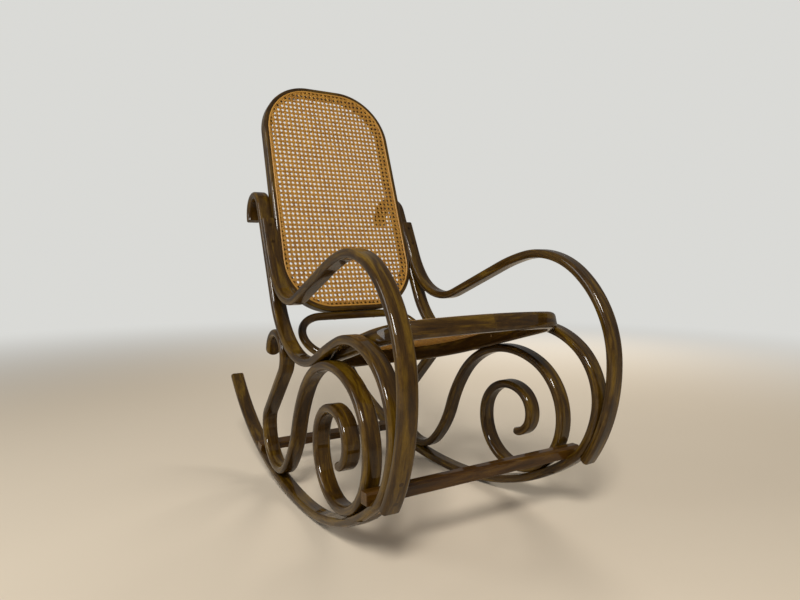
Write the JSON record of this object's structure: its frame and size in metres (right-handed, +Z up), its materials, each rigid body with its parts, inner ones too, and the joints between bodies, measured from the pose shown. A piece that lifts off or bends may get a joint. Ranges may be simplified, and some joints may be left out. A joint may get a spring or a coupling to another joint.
{
  "type": "bentwood rocking chair",
  "caption": "Bentwood rocking chair with scrolled sides on curved runners, armrests, and a caned seat and caned reclined back.",
  "frame": {"origin": "on the floor, under the middle of the chair's overall box", "axes": "+Z up, +X to the sitter's left, the chair faces -Y"},
  "size_m": [0.5548, 1.0919, 1.0678],
  "materials": {
    "rods": "glossy dark brown stain under lacquer",
    "rails": "glossy dark brown stain under lacquer",
    "stretchers": "satin reddish brown stain",
    "cane": "satin natural cane, aged to honey",
    "spline": "satin natural cane binding",
    "screws": "dull, darkened"
  },
  "bodies": {
    "root": {"side_member_right": "rods", "side_member_left": "rods", "runner_right": "rods", "runner_left": "rods", "arm_right": "rods", "arm_left": "rods", "scroll_right": "rods", "scroll_left": "rods", "seat_ring": "rails", "back_frame": "rails", "lumbar_loop": "rods", "front_stretcher": "stretchers", "rear_stretcher": "stretchers", "seat_cane": "cane", "back_cane": "cane", "seat_spline": "spline", "back_spline": "spline", "arm_top_screws": "screws", "arm_foot_screws": "screws", "scroll_curl_screws": "screws", "scroll_foot_screws": "screws", "scroll_arch_screws": "screws", "scroll_toe_screws": "screws", "runner_scarf_screws": "screws", "front_stretcher_screws": "screws", "rear_stretcher_screws": "screws", "seat_side_screws": "screws", "back_frame_screws": "screws", "loop_top_screws": "screws", "loop_seat_screws": "screws"}
  },
  "joints": []
}
